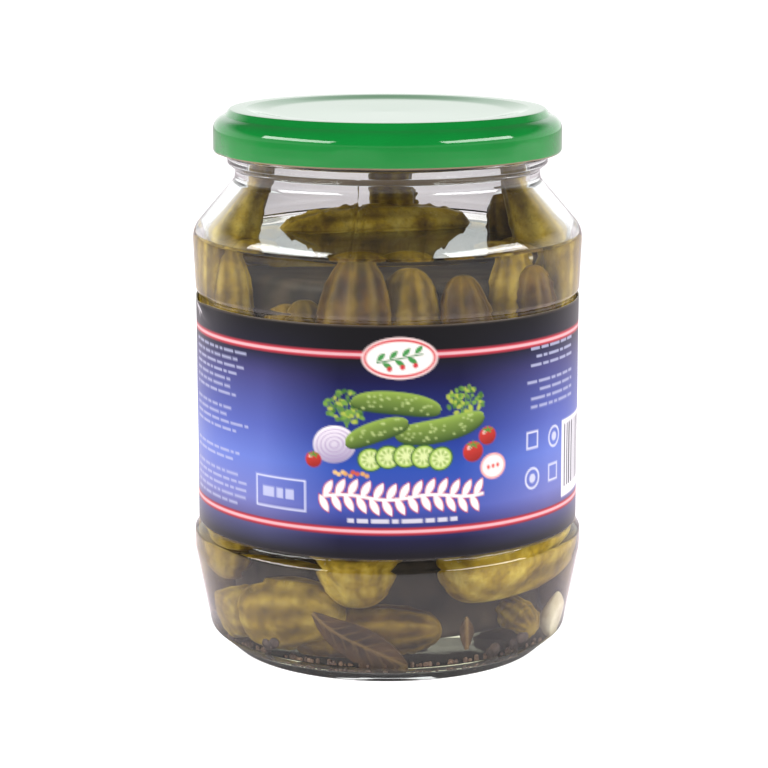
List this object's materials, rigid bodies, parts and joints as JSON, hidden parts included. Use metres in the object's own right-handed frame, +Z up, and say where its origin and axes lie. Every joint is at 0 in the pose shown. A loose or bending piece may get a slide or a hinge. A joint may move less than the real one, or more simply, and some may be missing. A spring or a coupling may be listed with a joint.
{
  "type": "jar of pickled gherkins",
  "caption": "Glass jar with a green twist-off lid and a dark wrap-round label, filled with small pickled gherkins, a bay leaf and garlic.",
  "frame": {"origin": "middle of the ring on the underside that the jar stands on", "axes": "+Z up along the jar's axis, -Y towards the front of the label"},
  "size_m": [0.0958, 0.0958, 0.1329],
  "materials": {
    "clear_glass": "clear container glass",
    "lid_lacquer": "glossy green lacquer on tinplate",
    "label_paper": "printed and varnished, black to blue",
    "pickled_gherkin": "wet olive skin",
    "dried_bay": "soaked dry leaf",
    "garlic": "peeled clove"
  },
  "bodies": {
    "root": {"glass_jar": "clear_glass", "lid": "lid_lacquer", "label": "label_paper", "pickles": "pickled_gherkin", "bay_leaf": "dried_bay", "garlic_clove": "garlic"}
  },
  "joints": []
}
